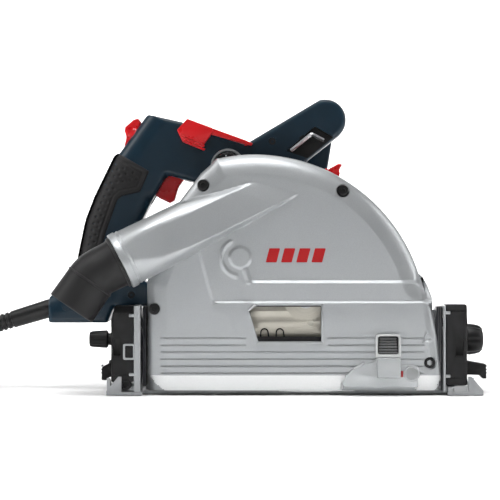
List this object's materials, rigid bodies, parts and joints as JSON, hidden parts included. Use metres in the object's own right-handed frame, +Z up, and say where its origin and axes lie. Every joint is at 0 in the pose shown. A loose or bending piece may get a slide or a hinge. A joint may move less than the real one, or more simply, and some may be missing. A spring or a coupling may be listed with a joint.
{
  "type": "track plunge saw",
  "caption": "Plunging circular saw on a guide-rail base, with bevel quadrants, blade cover with dust elbow, rear trigger handle, front bar handle and mains cord.",
  "frame": {"origin": "on the sole plane, in the blade plane, at mid length of the base", "axes": "+X the cutting direction, +Y from the blade to the motor, +Z up"},
  "size_m": [0.6327, 0.213, 0.2789],
  "materials": {
    "silver_paint": "fine metallic silver paint",
    "silver_casting": "die-cast, satin",
    "dark_casting": "dark grey casting paint",
    "petrol_plastic": "fine moulded texture",
    "black_rubber": "dotted soft overmould",
    "black_plastic": "moulded texture",
    "red_plastic": "satin gloss",
    "clear_plastic": "clear polycarbonate",
    "steel": "ground steel",
    "blade_steel": "ground, pale coated",
    "copper": "wound copper",
    "pale_plastic": "nylon",
    "cord_black": "rubber sheath",
    "brass": "turned brass"
  },
  "bodies": {
    "base": {"base_plate": "silver_casting", "front_quadrant": "silver_casting", "rear_quadrant": "silver_casting", "front_scale_cover": "black_plastic", "rear_scale_cover": "black_plastic", "glide_strips": "black_plastic", "quadrant_screws": "steel", "cut_indicator": "clear_plastic"},
    "front_lever": {"front_bevel_lever": "black_plastic"},
    "rear_lever": {"rear_bevel_lever": "black_plastic"},
    "front_cam": {"front_rail_cam": "black_plastic"},
    "rear_cam": {"rear_rail_cam": "black_plastic"},
    "guard": {"guard_housing": "silver_casting", "blade_cover": "silver_paint", "cover_screws": "dark_casting", "depth_scale": "silver_casting", "pivot_pin": "steel", "return_spring": "steel", "front_clamp_bolt": "steel", "rear_clamp_bolt": "steel", "port_ring": "silver_paint", "cord_coil": "cord_black", "plug": "cord_black", "plug_pins": "brass"},
    "front_knob": {"front_bevel_knob": "black_plastic"},
    "rear_knob": {"rear_bevel_knob": "black_plastic"},
    "splinter": {"splinter_guard": "clear_plastic", "splinter_pad": "black_plastic"},
    "depth_stop": {"depth_stop": "red_plastic"},
    "elbow": {"dust_elbow": "black_plastic"},
    "motor_unit": {"gear_case": "dark_casting", "gear_cover": "dark_casting", "motor_housing": "petrol_plastic", "motor_end_cap": "black_plastic", "handle_near_shell": "petrol_plastic", "handle_far_shell": "petrol_plastic", "handle_grip": "black_rubber", "front_grip": "petrol_plastic", "stator": "steel", "brush_holders": "brass", "switch_module": "black_plastic", "dial_bezel": "silver_casting", "hex_key": "steel", "handle_screws": "steel", "motor_bearings": "steel", "spindle_bearings": "steel", "cord_sleeve": "cord_black", "cord_run": "cord_black"},
    "trigger": {"trigger": "red_plastic"},
    "lock_button": {"lock_button": "red_plastic"},
    "mode_lever": {"mode_lever": "red_plastic"},
    "speed_dial": {"speed_dial": "black_plastic"},
    "blade_spindle": {"spindle": "steel", "drive_gear": "steel", "inner_flange": "steel", "saw_blade": "blade_steel", "outer_flange": "steel", "blade_bolt": "steel"},
    "rotor": {"rotor": "copper", "cooling_fan": "pale_plastic"}
  },
  "joints": [
    {"name": "bevel", "type": "hinge", "parent": "base", "child": "guard", "pos_m": [0, 0, 0], "axis": [1, 0, 0], "range_deg": [-1, 47]},
    {"name": "plunge", "type": "hinge", "parent": "guard", "child": "motor_unit", "pos_m": [-0.108, 0.03, 0.04], "axis": [0, 1, 0], "range_deg": [0, 28.7], "stiffness_Nm_per_rad": 8, "springref_deg": -42.97},
    {"name": "blade_spin", "type": "hinge", "parent": "motor_unit", "child": "blade_spindle", "pos_m": [0.01, 0, 0.088], "axis": [0, 1, 0], "continuous": true},
    {"name": "motor_spin", "type": "hinge", "parent": "motor_unit", "child": "rotor", "pos_m": [-0.00014, 0, 0.10975], "axis": [0, 1, 0], "continuous": true},
    {"name": "trigger_pull", "type": "slide", "parent": "motor_unit", "child": "trigger", "axis": [-0.8601, 0, 0.5101], "range_m": [0, 0.005], "stiffness_N_per_m": 600, "springref_m": -0.003},
    {"name": "lock_button_push", "type": "slide", "parent": "motor_unit", "child": "lock_button", "axis": [0.8131, 0, -0.5821], "range_m": [0, 0.005], "stiffness_N_per_m": 500, "springref_m": -0.003},
    {"name": "mode_lever_press", "type": "hinge", "parent": "motor_unit", "child": "mode_lever", "pos_m": [-0.042, 0.04, 0.231], "axis": [0, 1, 0], "range_deg": [-8, 0], "stiffness_Nm_per_rad": 0.5, "springref_deg": 6.88},
    {"name": "speed_dial_turn", "type": "hinge", "parent": "motor_unit", "child": "speed_dial", "pos_m": [-0.0627, 0.04, 0.2148], "axis": [0, 1, 0], "range_deg": [0, 270]},
    {"name": "depth_stop_set", "type": "hinge", "parent": "guard", "child": "depth_stop", "pos_m": [-0.0368, 0.02, 0.063], "axis": [0, 1, 0], "range_deg": [-28, 18]},
    {"name": "splinter_guard_slide", "type": "slide", "parent": "guard", "child": "splinter", "axis": [0, 0, 1], "range_m": [-0.007, 0.008]},
    {"name": "elbow_swivel", "type": "hinge", "parent": "guard", "child": "elbow", "pos_m": [-0.161, -0.019, 0.1233], "axis": [0.8815, 0.1172, 0.4575], "range_deg": [-110, 110]},
    {"name": "front_knob_turn", "type": "hinge", "parent": "guard", "child": "front_knob", "pos_m": [0.17, 0.04612, 0.0486], "axis": [1, 0, 0], "range_deg": [-90, 0]},
    {"name": "rear_knob_turn", "type": "hinge", "parent": "guard", "child": "rear_knob", "pos_m": [-0.18, 0.04612, 0.0486], "axis": [1, 0, 0], "range_deg": [0, 90]},
    {"name": "front_lever_turn", "type": "hinge", "parent": "base", "child": "front_lever", "pos_m": [0.162, 0.02, 0.023], "axis": [1, 0, 0], "range_deg": [-15, 15]},
    {"name": "rear_lever_turn", "type": "hinge", "parent": "base", "child": "rear_lever", "pos_m": [-0.172, 0.02, 0.023], "axis": [1, 0, 0], "range_deg": [-15, 15]},
    {"name": "front_cam_turn", "type": "hinge", "parent": "base", "child": "front_cam", "pos_m": [0.112, 0.081, 0.01], "axis": [0, 0, 1], "range_deg": [-90, 90]},
    {"name": "rear_cam_turn", "type": "hinge", "parent": "base", "child": "rear_cam", "pos_m": [-0.112, 0.081, 0.01], "axis": [0, 0, 1], "range_deg": [-90, 90]}
  ],
  "couplings": [
    {"joint": "motor_spin", "follows": "blade_spin", "ratio": -3.8}
  ]
}
